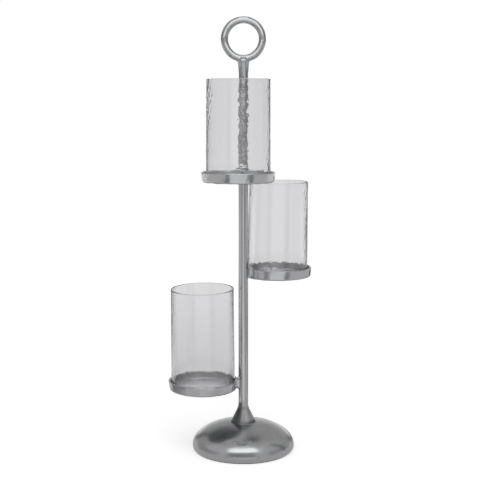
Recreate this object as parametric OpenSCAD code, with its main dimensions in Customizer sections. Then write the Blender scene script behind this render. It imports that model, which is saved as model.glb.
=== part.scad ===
// Torchere candle stand: three cast trays with hurricane glasses stepped round one pole,
// on a domed base, with a carrying ring on top. Millimetres, +Z up, -Y is the front.
// The origin is on the pole's axis, at the level of the floor.

/* [Base] */
// Widest diameter of the domed base
base_dia = 248.5; // [220:0.5:280]
// How far the base tucks in from its widest circle to its foot
base_tuck = 4.2; // [1:0.1:6]
// Height of the widest circle above the floor
base_edge_h = 11; // [8:0.5:15]
// Rise of the dome above its widest circle
dome_rise = 57; // [44:1:64]
// Wall of the hollow casting
base_wall = 6; // [4:0.5:9]
// Width of the flat land that the felt is stuck to
base_land = 10; // [6:0.5:16]
// Radius of the sweep from the dome up to the pole
neck_sweep = 54; // [40:1:64]
// Thickness of the felt ring
felt_t = 1.5; // [1:0.5:3]
// Margin of bare metal on each side of the felt ring
felt_margin = 0.6; // [0.2:0.1:1.5]

/* [Base fixing] */
// Diameter of the boss under the neck
boss_dia = 38; // [32:1:48]
// Height of the boss face above the floor
boss_face_h = 30; // [27:1:36]
// Number of webs between boss and dome
web_count = 4; // [3:1:6]
// Thickness of a web
web_t = 5; // [3:0.5:7]
// Reach of a web from the middle of the base
web_reach = 66; // [50:1:80]
// Thread diameter of the base bolt and of the finial stud
bolt_dia = 12; // [8:1:13]
// Play of the bolt in the neck, all round
bolt_play = 0.6; // [0.3:0.1:1]
// Width of the bolt head across its flats
bolt_flats = 19; // [17:1:20]
// Height of the bolt head
bolt_head_h = 7.5; // [5:0.5:8]
// Thickness of the plain washer
washer_t = 2.5; // [1.5:0.5:3]
// Outer diameter of the plain washer
washer_dia = 26; // [24:1:30]
// Thickness of the spring washer
spring_t = 3; // [2:0.5:3.5]
// Ring width of the spring washer
spring_ring = 4; // [3:0.5:5]
// Width of the slit in the spring washer
spring_slit = 1.6; // [1:0.2:2.4]

/* [Pole] */
// Outer diameter of the pole
pole_dia = 23.6; // [21.6:0.2:28]
// Wall of the pole
pole_wall = 2; // [1.2:0.1:2.5]
// Length of the pole from the base to the finial
pole_len = 778; // [760:1:860]
// Length of the threaded insert in each end of the pole
insert_len = 30; // [24:1:35]
// How far a bolt or stud reaches into its thread
thread_reach = 24; // [14:1:24]

/* [Finial] */
// Outside diameter of the ring
ring_dia = 106; // [90:0.5:130]
// Thickness of the ring's round bar
ring_bar = 17; // [14:0.5:20]
// Length of the stem below the ring
stem_len = 42.5; // [36:0.5:60]
// Diameter of the stem at its waist, a little above the pole
stem_waist_dia = 22.2; // [20:0.2:26]
// Height of the waist above the joint with the pole
stem_waist_h = 10; // [6:1:14]
// Diameter of the stem just under the ring
stem_top_dia = 27.4; // [25:0.1:32]
// Radius of the fillet between stem and ring
ring_fillet = 2; // [1.5:0.5:6]
// How far the stem's rounded crown rises in front of and behind the ring's bar
stem_crown = 10; // [7:0.5:12]

/* [Trays] */
// Diameter of a tray at its rim
tray_dia = 170; // [160:0.5:190]
// Height of a tray from its underside to its rim
tray_h = 23.7; // [20:0.1:28]
// How far the wall leans in from rim to underside
tray_lean = 2.2; // [1:0.1:4]
// Thickness of a tray's floor
tray_floor_t = 6.2; // [4:0.1:7]
// Thickness of the wall at the rim
tray_wall = 4.6; // [4:0.1:6]
// Lean of the wall's inner face between rim and floor
tray_inner_lean = 1.2; // [0.6:0.1:2]
// Radius of the rounded edge under a tray
tray_edge_r = 4.5; // [3:0.5:7]
// Radius in the corner between floor and wall
tray_corner_r = 1; // [0.5:0.1:1.5]
// Height over which the rim is rounded
tray_lip_h = 2; // [1:0.1:3]
// Rise of the lowest tray's rim above the base's neck
bottom_rise = 53.4; // [50:0.1:90]
// Height of the middle tray's rim above the floor
middle_rim_h = 442.5; // [430:0.5:460]
// Height of the highest tray's rim above the floor
top_rim_h = 684; // [676:0.5:720]
// Bearing of the lowest tray, counted from +X towards +Y
bottom_bearing = 171; // [160:1:180]
// Bearing of the middle tray
middle_bearing = 33.5; // [28:0.5:42]
// Bearing of the highest tray
top_bearing = 263; // [258:0.5:272]

/* [Lugs] */
// Gap between a tray's rim and the pole, bridged by the lug
lug_gap = 2.7; // [2.4:0.1:8]
// Width of a lug at its waist
lug_waist = 21; // [15:0.5:22]
// How much wider a lug is at the tray than at its waist, on each side
lug_flare = 5; // [3:0.5:9]
// How far the saddle rises above the rim where it meets the pole
lug_rise = 12; // [8:0.5:14]
// How far the lug rises above the rim at its other end, over the tray's wall
lug_end_rise = 8; // [5:0.5:8]
// Radius of that end, seen from the side
lug_end_round = 4; // [2:0.5:5]
// Radius of the lug's upper edges, seen along its length
lug_round = 7; // [2:0.5:10]
// Height of the lug's lower edge above the tray's underside
lug_lift = 6; // [2:0.5:7]
// How far the lower edge drops towards the pole
lug_drop = 2.5; // [1:0.5:5]
// Angle that the saddle reaches round the pole, each way
saddle_angle = 57; // [50:1:60]

/* [Tray fixing] */
// Thread diameter of a tray screw
screw_dia = 6; // [5:0.5:7]
// Diameter of the countersunk head
screw_head_dia = 11.5; // [10:0.5:13]
// Depth of the screw below the rim
screw_drop = 9.5; // [8:0.5:12]
// How far a screw's head is sunk below the wall's inner face
screw_sink = 0.4; // [0:0.1:0.8]
// How far a screw passes beyond the pole's axis
screw_past_axis = 4; // [0:0.5:6]
// Hexagon socket of the screw, across its flats
socket_flats = 4; // [3:0.5:4.5]
// Height of the nut that sits in the pole
nut_h = 16; // [12:1:20]

/* [Glasses] */
// Wall of a glass
glass_wall = 4; // [3:0.5:6]
// Height of the lowest glass
bottom_glass_h = 243; // [200:1:250]
// Height of the middle glass
middle_glass_h = 226; // [200:1:250]
// Height of the highest glass
top_glass_h = 226; // [200:1:250]
// Play of the lowest glass in its tray, all round
bottom_glass_play = 1; // [1:0.1:6]
// Play of the middle glass in its tray, all round
middle_glass_play = 4.4; // [1:0.1:6]
// Play of the highest glass in its tray, all round
top_glass_play = 5.1; // [1:0.1:7]
// How much the lowest glass narrows from foot to mouth, all round
bottom_glass_taper = 1.2; // [0:0.1:4]
// How much the middle glass narrows
middle_glass_taper = 2.6; // [0:0.1:4]
// How much the highest glass narrows
top_glass_taper = 1.2; // [0:0.1:4]
// Depth of the slow waves in the hand-drawn wall
glass_wave = 0.5; // [0:0.1:0.8]
// Spacing of these waves
glass_wave_len = 62; // [40:1:90]
// Size of the ground bevel at the foot
glass_bevel = 0.8; // [0.4:0.1:1.2]

/* [Fits] */
// Clearance of a plug in the pole, all round
plug_clear = 0.05; // [0.02:0.01:0.1]
// Clearance between a thread's crests and its hole
thread_clear = 0.05; // [0.02:0.01:0.1]
// Clearance between the pole and a tray's saddle
saddle_clear = 0.05; // [0.02:0.01:0.15]
// Clearance of a tray screw in its tray and in the pole's wall
screw_clear = 0.3; // [0.1:0.05:0.5]

/* [Hidden] */
$fn = 96;

// Margin by which a cutting shape runs past what it cuts
over = 1;

castMetal = "#A9AAAC";
tubeMetal = "#B4B5B7";
plainSteel = "#8E9194";
feltColour = "#2E2E30";
clearGlass = [0.82, 0.85, 0.86, 0.45];

pole_r = pole_dia / 2;
bore_r = pole_r - pole_wall;
base_r = base_dia / 2;
foot_r = base_r - base_tuck;
cavity_r = foot_r - base_land;
bolt_r = bolt_dia / 2;
screw_r = screw_dia / 2;
screw_head_r = screw_head_dia / 2;

// Points of an ellipse's arc from angle a0 to a1, in n steps
function arc(middle, rx, ry, a0, a1, n) =
    [for (i = [0:n]) let (a = a0 + (a1 - a0) * i / n) middle + [rx * cos(a), ry * sin(a)]];

// The neck is a round sweep that leaves the pole upright and lands on the dome without a crease.
// dome_normal is the dome's outward direction at the angle a of its ellipse, and blend_error is
// how far the sweep's centre then lies from where it has to be.
function dome_normal(a) =
    let (n = [dome_rise * cos(a), base_r * sin(a)]) n / norm(n);
function blend_error(a) =
    base_r * cos(a) + neck_sweep * dome_normal(a).x - (pole_r + neck_sweep);
function blend_angle(low, high, steps) =
    let (mid = (low + high) / 2)
    steps == 0 ? mid
        : blend_error(mid) > 0 ? blend_angle(mid, high, steps - 1)
        : blend_angle(low, mid, steps - 1);

neck_angle = blend_angle(5, 89, 30);
neck_normal = dome_normal(neck_angle);
neck_top = base_edge_h + dome_rise * sin(neck_angle) + neck_sweep * neck_normal.y;
neck_start = 180 + atan2(neck_normal.y, neck_normal.x);

pole_top = neck_top + pole_len;
stem_top = pole_top + stem_len;
ring_r = (ring_dia - ring_bar) / 2;
ring_z = stem_top + ring_dia / 2;

washer_z = boss_face_h - washer_t;
spring_z = washer_z - spring_t;
bolt_tip = neck_top + thread_reach;

rim_r = tray_dia / 2;
tray_foot_r = rim_r - tray_lean;
floor_r = rim_r - tray_wall - tray_inner_lean;
tray_depth = tray_h - tray_floor_t;
orbit_r = pole_r + lug_gap + rim_r;
bottom_rim_h = neck_top + bottom_rise;

// Radius of a tray's inner wall at a depth below its rim
function inner_wall_r(depth) = rim_r - tray_wall - tray_inner_lean * depth / tray_depth;

screw_face = inner_wall_r(screw_drop) + screw_sink;
screw_len = orbit_r + screw_past_axis - screw_face;
screw_head_h = screw_head_r - screw_r;

// ---- Base and what fixes it to the pole

module base() {
    color(castMetal)
    difference() {
        rotate_extrude() polygon(concat(
            [[0, felt_t]],
            arc([foot_r, base_edge_h], base_tuck, base_edge_h - felt_t, -90, 0, 6),
            arc([0, base_edge_h], base_r, dome_rise, 2, neck_angle, 22),
            arc([pole_r + neck_sweep, neck_top], neck_sweep, neck_sweep, neck_start, 180, 16),
            [[0, neck_top]]
        ));
        difference() {
            base_cavity();
            boss_and_webs();
        }
        cylinder(h = neck_top + over, r = bolt_r + bolt_play);
    }
}

module base_cavity() {
    rotate_extrude() polygon(concat(
        [[0, 0], [cavity_r, 0]],
        arc([0, base_edge_h], cavity_r, dome_rise - base_wall, 0, 90, 20)
    ));
}

// The boss takes the bolt's pull, and the webs carry it out into the dome
module boss_and_webs() {
    web_top = base_edge_h + dome_rise;
    translate([0, 0, boss_face_h]) cylinder(h = web_top, d = boss_dia);
    for (i = [0:web_count - 1]) {
        rotate([90, 0, (i + 0.5) * 360 / web_count])
        translate([0, 0, -web_t / 2])
        linear_extrude(web_t) polygon([
            [0, boss_face_h + felt_t],
            [boss_dia / 2, boss_face_h + felt_t],
            [web_reach, web_top - base_wall],
            [web_reach, web_top],
            [0, web_top]
        ]);
    }
}

module foot_felt() {
    color(feltColour)
    difference() {
        cylinder(h = felt_t, r = foot_r - felt_margin);
        translate([0, 0, -over]) cylinder(h = felt_t + 2 * over, r = cavity_r + felt_margin);
    }
}

module base_bolt() {
    head_r = bolt_flats / 2 / cos(30);
    chamfer = 1;
    color(plainSteel) {
        translate([0, 0, spring_z - bolt_head_h])
        intersection() {
            cylinder(h = bolt_head_h, r = head_r, $fn = 6);
            rotate_extrude() polygon([
                [0, 0], [bolt_flats / 2 - chamfer / 2, 0], [head_r, chamfer],
                [head_r, bolt_head_h], [0, bolt_head_h]
            ]);
        }
        translate([0, 0, spring_z])
        rotate_extrude() polygon([
            [0, 0], [bolt_r, 0], [bolt_r, bolt_tip - spring_z - chamfer],
            [bolt_r - chamfer, bolt_tip - spring_z], [0, bolt_tip - spring_z]
        ]);
    }
}

module base_spring_washer() {
    hole_r = bolt_r + bolt_play / 2;
    color(plainSteel)
    translate([0, 0, spring_z])
    difference() {
        cylinder(h = spring_t, r = hole_r + spring_ring);
        translate([0, 0, -over]) cylinder(h = spring_t + 2 * over, r = hole_r);
        translate([0, -hole_r - spring_ring / 2, spring_t / 2])
        rotate([0, 25, 0])
        cube([spring_slit, 2 * spring_ring, 3 * spring_t], center = true);
    }
}

module base_washer() {
    color(plainSteel)
    translate([0, 0, washer_z])
    difference() {
        cylinder(h = washer_t, d = washer_dia);
        translate([0, 0, -over]) cylinder(h = washer_t + 2 * over, r = bolt_r + bolt_play / 2);
    }
}

// ---- Pole

module pole() {
    color(tubeMetal)
    difference() {
        translate([0, 0, neck_top]) cylinder(h = pole_len, r = pole_r);
        translate([0, 0, neck_top - over]) cylinder(h = pole_len + 2 * over, r = bore_r);
        for (place = [[bottom_bearing, bottom_rim_h], [middle_bearing, middle_rim_h],
                      [top_bearing, top_rim_h]])
            rotate([0, 0, place.x])
            translate([0, 0, place.y - screw_drop])
            rotate([0, 90, 0])
            cylinder(h = pole_dia, r = screw_r + screw_clear);
    }
}

// Round plug with a tapped hole, which starts at one of its ends
module insert(start, hole_start, hole_len) {
    color(plainSteel)
    difference() {
        translate([0, 0, start]) cylinder(h = insert_len, r = bore_r - plug_clear);
        translate([0, 0, hole_start]) cylinder(h = hole_len, r = bolt_r + thread_clear);
    }
}

module pole_foot_insert() {
    insert(neck_top, neck_top - over, insert_len + 2 * over);
}

module pole_top_insert() {
    insert(pole_top - insert_len, pole_top - insert_len - over, insert_len + 2 * over);
}

// ---- Finial

module finial_stud() {
    chamfer = 1;
    half = thread_reach;
    color(plainSteel)
    translate([0, 0, pole_top])
    rotate_extrude() polygon([
        [0, -half], [bolt_r - chamfer, -half], [bolt_r, chamfer - half],
        [bolt_r, half - chamfer], [bolt_r - chamfer, half], [0, half]
    ]);
}

// The stem draws in to a waist, widens again and ends in a small fillet against the ring and a
// rounded crown that the ring's bar grows out of
module finial() {
    steps = 8;
    waist_r = stem_waist_dia / 2;
    waist_z = pole_top + stem_waist_h;
    stem_r = stem_top_dia / 2;
    fillet_r = stem_r + ring_fillet;
    fillet_drop = sqrt(pow(ring_dia / 2 + ring_fillet, 2) - fillet_r * fillet_r);
    fillet_z = ring_z - fillet_drop;
    fillet_end = 180 - atan2(fillet_drop, fillet_r);
    crown_r = fillet_r + ring_fillet * cos(fillet_end);
    crown_z = fillet_z + ring_fillet * sin(fillet_end);
    color(castMetal)
    difference() {
        union() {
            translate([0, 0, ring_z])
            rotate([90, 0, 0])
            rotate_extrude() translate([ring_r, 0]) circle(d = ring_bar);

            rotate_extrude() polygon(concat(
                [[0, pole_top]],
                [for (i = [0:steps]) let (t = i / steps)
                    [waist_r + (pole_r - waist_r) * (1 - t) * (1 - t), pole_top + stem_waist_h * t]],
                [for (i = [1:steps]) let (t = i / steps)
                    [waist_r + (stem_r - waist_r) * t * t, waist_z + (fillet_z - waist_z) * t]],
                arc([fillet_r, fillet_z], ring_fillet, ring_fillet, 176, fillet_end, 6),
                arc([0, crown_z], crown_r, stem_crown, 6, 90, 12)
            ));
        }
        translate([0, 0, pole_top - over])
        cylinder(h = thread_reach + 2 * over, r = bolt_r + thread_clear);
    }
}

// ---- Trays. Each is drawn with its own centre on the +X side of the pole, then turned.

module tray(rim_h, bearing) {
    color(castMetal)
    rotate([0, 0, bearing])
    translate([0, 0, rim_h])
    difference() {
        union() {
            translate([orbit_r, 0, 0]) rotate_extrude() tray_profile();
            lug();
        }
        translate([0, 0, -tray_h - lug_drop]) cylinder(
            h = tray_h + lug_drop + lug_rise + over, r = pole_r + saddle_clear);
        screw_path();
    }
}

// Half section of a tray, with the rim at height 0
module tray_profile() {
    lip_r = tray_wall / 2;
    polygon(concat(
        [[0, -tray_h]],
        arc([tray_foot_r - tray_edge_r, tray_edge_r - tray_h], tray_edge_r, tray_edge_r, -90, 0, 8),
        arc([rim_r - lip_r, -tray_lip_h], lip_r, tray_lip_h, 0, 180, 10),
        arc([floor_r - tray_corner_r, tray_corner_r - tray_depth],
            tray_corner_r, tray_corner_r, 0, -90, 4),
        [[0, -tray_depth]]
    ));
}

// The lug is a waisted bridge seen from above. Seen from the side, its top sweeps up to the pole
// from a rounded end that stands on the tray's wall. Seen along its length, its upper edges are
// rounded.
module lug() {
    steps = 10;
    pole_end = pole_r * cos(saddle_angle);
    wall_face = orbit_r - rim_r;
    tray_end = wall_face + 0.9 * tray_wall;
    end_start = tray_end - lug_end_round;
    low_edge = lug_lift - tray_h;
    half_w = lug_waist / 2 + lug_flare;
    difference() {
        intersection() {
            translate([0, 0, -tray_h - lug_drop])
            linear_extrude(tray_h + lug_drop + lug_rise) polygon(concat(
                [for (i = [0:steps]) let (t = i / steps)
                    [pole_end + (tray_end - pole_end) * t, lug_waist / 2 + lug_flare * t * t]],
                [for (i = [steps:-1:0]) let (t = i / steps)
                    [pole_end + (tray_end - pole_end) * t, -lug_waist / 2 - lug_flare * t * t]]
            ));
            translate([0, rim_r, 0])
            rotate([90, 0, 0])
            linear_extrude(2 * rim_r) polygon(concat(
                [[pole_end, low_edge - lug_drop]],
                [for (i = [0:steps]) let (t = i / steps)
                    [pole_r + (tray_end - pole_r) * t,
                     low_edge - lug_drop * (1 - t) * (1 - t)]],
                arc([end_start, lug_end_rise - lug_end_round],
                    lug_end_round, lug_end_round, 0, 90, 6),
                [for (i = [1:steps]) let (t = i / steps)
                    [end_start + (pole_r - end_start) * t,
                     lug_end_rise + (lug_rise - lug_end_rise) * t * t]],
                [[pole_end, lug_rise]]
            ));
            rotate([90, 0, 90])
            linear_extrude(orbit_r) polygon(concat(
                [[-half_w, low_edge - lug_drop]],
                [[half_w, low_edge - lug_drop]],
                arc([half_w - lug_round, lug_rise - lug_round], lug_round, lug_round, 0, 90, 8),
                arc([lug_round - half_w, lug_rise - lug_round], lug_round, lug_round, 90, 180, 8)
            ));
        }
        translate([orbit_r, 0, -tray_depth]) cylinder(h = tray_depth + over, r = inner_wall_r(0));
    }
}

// What a screw needs cleared: its shank and, in the wall's inner face, its head
module screw_path() {
    translate([orbit_r - screw_face, 0, -screw_drop])
    rotate([0, -90, 0]) {
        cylinder(h = orbit_r, r = screw_r + screw_clear);
        cylinder(h = screw_head_h, r1 = screw_head_r + screw_clear, r2 = screw_r + screw_clear);
        translate([0, 0, -over]) cylinder(h = over, r = screw_head_r + screw_clear);
    }
}

module tray_screw(rim_h, bearing) {
    socket_r = socket_flats / 2 / cos(30);
    socket_depth = 3;
    color(plainSteel)
    rotate([0, 0, bearing])
    translate([orbit_r - screw_face, 0, rim_h - screw_drop])
    rotate([0, -90, 0])
    difference() {
        union() {
            cylinder(h = screw_len, r = screw_r);
            cylinder(h = screw_head_h, r1 = screw_head_r, r2 = screw_r);
        }
        translate([0, 0, -over]) cylinder(h = socket_depth + over, r = socket_r, $fn = 6);
    }
}

module tray_nut(rim_h, bearing) {
    color(plainSteel)
    rotate([0, 0, bearing])
    translate([0, 0, rim_h - screw_drop])
    difference() {
        translate([0, 0, -nut_h / 2]) cylinder(h = nut_h, r = bore_r - plug_clear);
        translate([pole_r, 0, 0]) rotate([0, -90, 0])
        cylinder(h = pole_r + screw_past_axis + thread_clear, r = screw_r + thread_clear);
    }
}

module bottom_tray() { tray(bottom_rim_h, bottom_bearing); }
module middle_tray() { tray(middle_rim_h, middle_bearing); }
module top_tray() { tray(top_rim_h, top_bearing); }
module bottom_tray_screw() { tray_screw(bottom_rim_h, bottom_bearing); }
module middle_tray_screw() { tray_screw(middle_rim_h, middle_bearing); }
module top_tray_screw() { tray_screw(top_rim_h, top_bearing); }
module bottom_tray_nut() { tray_nut(bottom_rim_h, bottom_bearing); }
module middle_tray_nut() { tray_nut(middle_rim_h, middle_bearing); }
module top_tray_nut() { tray_nut(top_rim_h, top_bearing); }

// ---- Glasses: open at both ends, standing on the floor of a tray

module hurricane(rim_h, bearing, height, play, taper) {
    steps = 30;
    half = glass_wall / 2;
    foot = floor_r - play;
    // Middle line of the wall at a height above the foot
    function wall_line(z) =
        foot - half - taper * z / height + glass_wave * (cos(360 * z / glass_wave_len) - 1) / 2;
    side = [for (i = [0:steps]) let (z = glass_bevel + (height - half - glass_bevel) * i / steps)
        [wall_line(z), z]];
    color(clearGlass)
    rotate([0, 0, bearing])
    translate([orbit_r, 0, rim_h - tray_depth])
    rotate_extrude() polygon(concat(
        [[foot - glass_bevel, 0]],
        [for (p = side) p + [half, 0]],
        arc([side[steps].x, height - half], half, half, 20, 160, 7),
        [for (i = [steps:-1:0]) side[i] - [half, 0]],
        [[foot - glass_wall + glass_bevel, 0]]
    ));
}

module bottom_glass() {
    hurricane(bottom_rim_h, bottom_bearing, bottom_glass_h, bottom_glass_play, bottom_glass_taper);
}
module middle_glass() {
    hurricane(middle_rim_h, middle_bearing, middle_glass_h, middle_glass_play, middle_glass_taper);
}
module top_glass() {
    hurricane(top_rim_h, top_bearing, top_glass_h, top_glass_play, top_glass_taper);
}

base();
foot_felt();
base_bolt();
base_spring_washer();
base_washer();
pole();
pole_foot_insert();
pole_top_insert();
finial_stud();
finial();
bottom_tray();
middle_tray();
top_tray();
bottom_tray_screw();
middle_tray_screw();
top_tray_screw();
bottom_tray_nut();
middle_tray_nut();
top_tray_nut();
bottom_glass();
middle_glass();
top_glass();
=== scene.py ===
import math
import bmesh
import bpy
import numpy as np
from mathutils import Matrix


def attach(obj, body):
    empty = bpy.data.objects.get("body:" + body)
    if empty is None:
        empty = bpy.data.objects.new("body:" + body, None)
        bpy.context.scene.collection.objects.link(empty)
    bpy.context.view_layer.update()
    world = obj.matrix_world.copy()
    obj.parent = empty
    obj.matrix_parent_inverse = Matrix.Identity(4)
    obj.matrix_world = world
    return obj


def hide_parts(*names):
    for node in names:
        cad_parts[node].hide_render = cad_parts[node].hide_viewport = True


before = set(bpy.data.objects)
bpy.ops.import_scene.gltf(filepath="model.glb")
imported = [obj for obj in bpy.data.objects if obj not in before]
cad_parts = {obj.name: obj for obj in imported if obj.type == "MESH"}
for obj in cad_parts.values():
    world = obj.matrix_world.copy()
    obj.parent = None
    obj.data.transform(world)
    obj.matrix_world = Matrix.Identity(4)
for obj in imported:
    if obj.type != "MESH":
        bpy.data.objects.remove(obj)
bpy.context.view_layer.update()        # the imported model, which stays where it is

mm = 0.001
scene = bpy.context.scene
scene.view_settings.view_transform = "Standard"


def linkObject(name, data):
    thing = bpy.data.objects.new(name, data)
    scene.collection.objects.link(thing)
    return thing


camera = {
    "place": (-0.008, -2.3814, 0.8125),        # metres
    "down": 7.13,        # degrees below level
    "lens": 75,
}
eye = linkObject("camera", bpy.data.cameras.new("camera"))
eye.data.lens = camera["lens"]
eye.location = camera["place"]
eye.rotation_euler = (math.radians(90 - camera["down"]), 0, 0)
scene.camera = eye
print("camera placed")


def linearColour(code):        # an sRGB hex colour as linear values, with full alpha
    parts = [int(code[i:i + 2], 16) / 255 for i in (1, 3, 5)]
    return [p / 12.92 if p <= 0.04045 else ((p + 0.055) / 1.055) ** 2.4 for p in parts] + [1.0]


def noiseScale(width):        # the scale of a noise whose spots are about this wide, in mm
    return 1 / (width * mm)


def addNode(tree, kind, inputs=None, **settings):
    node = tree.nodes.new("ShaderNode" + kind)
    for name, value in settings.items():
        setattr(node, name, value)
    for name, value in (inputs or {}).items():
        if isinstance(value, bpy.types.NodeSocket):
            tree.links.new(value, node.inputs[name])
        else:
            node.inputs[name].default_value = value
    return node


def startMaterial(name):
    material = bpy.data.materials.new(name)
    material.use_nodes = True
    material.node_tree.nodes.clear()
    return material, material.node_tree


# Sum of slow waves in many directions: the uneven surface that handwork leaves, in mm
def handWaves(points, spacing, depth, seed):
    count = 16
    draw = np.random.RandomState(seed)
    total = np.zeros(points.shape[:-1])
    for i in range(count):
        way = draw.normal(size=3)
        way *= 2 * math.pi / (spacing * draw.uniform(0.75, 1.4)) / np.linalg.norm(way)
        total += np.cos(points @ way + draw.uniform(0, 2 * math.pi))
    return total * depth * math.sqrt(2 / count)


# A lathe: (radius, height) points in mm, turned round Z. relief lifts the surface along its
# normal. Returns the points as a grid, one row for each point of the profile
def turnProfile(profile, segments, relief=None):
    line = np.array(profile, float)
    along = np.roll(line, -1, 0) - np.roll(line, 1, 0)
    along[0] = line[1] - line[0] if line[0, 0] == 0 else along[0]
    along[-1] = line[-1] - line[-2] if line[-1, 0] == 0 else along[-1]
    out = np.stack([along[:, 1], -along[:, 0]], 1)
    out /= np.maximum(np.linalg.norm(out, axis=1), 1e-9)[:, None]
    turn = np.arange(segments) * 2 * math.pi / segments
    spin = np.stack([np.cos(turn), np.sin(turn)], 1)
    points = np.empty((len(line), segments, 3))
    normals = np.empty_like(points)
    points[..., :2] = line[:, None, :1] * spin
    points[..., 2] = line[:, 1:]
    normals[..., :2] = out[:, None, :1] * spin
    normals[..., 2] = out[:, 1:]
    if relief:
        points += normals * relief(points)[..., None]
    return points


# Quads of a grid whose rows are closed rings
def ringFaces(rows, columns, closed, first=0):
    faces = []
    for i in range(rows if closed else rows - 1):
        a, b = first + i * columns, first + (i + 1) % rows * columns
        for j in range(columns):
            k = (j + 1) % columns
            faces.append((a + j, a + k, b + k, b + j))
    return faces


def arc(middle, rx, ry, start, end, steps):
    turns = [math.radians(start + (end - start) * i / steps) for i in range(steps + 1)]
    return [(middle[0] + rx * math.cos(t), middle[1] + ry * math.sin(t)) for t in turns]


def evenly(start, end, step):        # points on a straight line, without its first point
    count = max(1, round(math.dist(start, end) / step))
    return [tuple(a + (b - a) * i / count for a, b in zip(start, end)) for i in range(1, count + 1)]


def cleanMesh(name, points, faces, merge):        # points, and how near two are one, in mm
    mesh = bpy.data.meshes.new(name)
    mesh.from_pydata((np.asarray(points).reshape(-1, 3) * mm).tolist(), [], faces)
    skin = bmesh.new()
    skin.from_mesh(mesh)
    bmesh.ops.remove_doubles(skin, verts=skin.verts, dist=merge * mm)
    bmesh.ops.recalc_face_normals(skin, faces=skin.faces)
    skin.to_mesh(mesh)
    skin.free()
    return mesh


def smoothFaces(mesh, sharp):        # edges that bend more than this many degrees stay sharp
    mesh.shade_smooth()
    mesh.set_sharp_from_angle(angle=math.radians(sharp))


def buildPiece(name, points, faces, material, body, replaced, sharp=40):
    mesh = cleanMesh(name, points, faces, 0.002)
    smoothFaces(mesh, sharp)
    mesh.materials.append(material)
    piece = linkObject(name, mesh)
    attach(piece, body)
    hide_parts(replaced)
    return piece


# What the polished metal and the glass mirror. Each card is a stretch of wall, ceiling or floor:
# its azimuth (0 is the camera's side, positive to the right), half its width and its soft edge in
# degrees, where it starts and ends (elevations in degrees, or on the floor distances in metres
# from the pole) and its level, where 1 is white
studio = {
    "wall": 0.60, "wallBlur": 4,        # the blur is the soft edge above and below, in degrees
    "cards": [
        (0, 180, 0, 62, 95, 0.47),           # dim ceiling
        (180, 74, 8, 10, 62, 0.42),          # unlit upper part of the room behind
        (180, 33, 8, -40, 10, 1.00),         # bright backdrop behind
        (90, 32, 10, 27, 62, 0.56),          # wall on the right
        (90, 32, 10, -3, 27, 0.41),
        (-5, 30, 8, 4, 42, 0.30),            # unlit end of the room in front
        (-92, 32, 10, -3, 27, 0.38),         # wall on the left
        (2, 24, 3, -14, 3, 0.93),            # the paper in front, where it rises
        (37, 7, 4, -14, 3, 0.34),            # dark gaps beside the paper
        (-37, 7, 4, -14, 3, 0.34),
        (104, 5, 3, -3, 52, 0.18),           # black flags beside the backdrop
        (146, 5, 3, -3, 14, 0.12),
        (-150, 5, 3, -3, 45, 0.18),
    ],
    # the black surround that draws the glasses' edges, and the backdrop in the middle of it
    "cardsThroughGlass": [
        (180, 46, 8, -70, 70, 0.05),
        (180, 18, 4, -70, 40, 0.72),
    ],
    "floor": 0.66, "floorBlur": 0.05, "floorBlurThroughGlass": 0.9,        # blurs in metres
    "floorCards": [
        (0, 180, 0, 0.0, 0.26, 0.56),        # shade round the stand
        (2, 24, 3, 0.33, 0.75, 0.80),
        (2, 24, 3, 0.75, 9.0, 0.93),         # sheet of white paper in front
        (37, 7, 4, 0.85, 9.0, 0.34),
        (-37, 7, 4, 0.85, 9.0, 0.34),
        (-88, 26, 8, 0.46, 0.95, 0.30),      # dark strips on the left and the right behind
        (147, 11, 3, 0.30, 2.4, 0.16),
        (180, 20, 6, 0.20, 9.0, 1.10),       # foot of the backdrop
        (132, 30, 8, 2.9, 9.0, 0.90),        # bright far floor on both sides
        (-132, 30, 8, 2.9, 9.0, 0.90),
    ],
    "floorCardsThroughGlass": [
        (180, 46, 8, -9, 99, 0.05),
        (180, 18, 4, -9, 99, 0.72),
        (0, 180, 0, -9, 1.4, 0.60),          # near floor
    ],
    # place, turn about X in degrees, width, height, level
    "lamps": {
        "front softbox": ((0.0, -0.855, 1.635), 73, 1.60, 1.14, 1.25),
        "overhead softbox": ((0.0, -0.13, 2.10), 0, 0.44, 0.76, 0.90),
        "back softbox": ((0.0, 0.45, 1.42), -62, 0.54, 0.36, 1.05),
    },
}


def addCards(tree, level, cards, flat, reach, blur):
    for azimuth, half, soft, low, high, value in cards:
        turn = math.radians(azimuth)
        facing = addNode(tree, "VectorMath", {0: flat, 1: (math.sin(turn), -math.cos(turn), 0)},
                         operation="DOT_PRODUCT")
        start, end = math.cos(math.radians(half + soft)), math.cos(math.radians(half - soft))
        if half == 180:        # a full circle: both limits are below every cosine
            start, end = -3, -2
        mask = addNode(tree, "MapRange", {"Value": facing.outputs["Value"], "From Min": start,
                                          "From Max": end}, interpolation_type="SMOOTHSTEP")
        for edge, way in ((low, blur), (high, -blur)):
            limit = addNode(tree, "MapRange", {"Value": reach, "From Min": edge - way,
                                               "From Max": edge + way},
                            interpolation_type="SMOOTHSTEP")
            mask = addNode(tree, "Math", {0: mask.outputs[0], 1: limit.outputs[0]},
                           operation="MULTIPLY")
        level = addNode(tree, "Mix", {"Factor": mask.outputs[0], "A": level, "B": value},
                        data_type="FLOAT").outputs[0]
    return level


# A direction or a place laid flat: the way it points, how long it is, and its height
def layFlat(tree, vector):
    parts = addNode(tree, "SeparateXYZ", {0: vector})
    laid = addNode(tree, "CombineXYZ", {"X": parts.outputs["X"], "Y": parts.outputs["Y"]})
    flat = addNode(tree, "VectorMath", {0: laid.outputs[0]}, operation="NORMALIZE")
    away = addNode(tree, "VectorMath", {0: laid.outputs[0]}, operation="LENGTH")
    return flat.outputs[0], away.outputs["Value"], parts.outputs["Z"]


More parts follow.
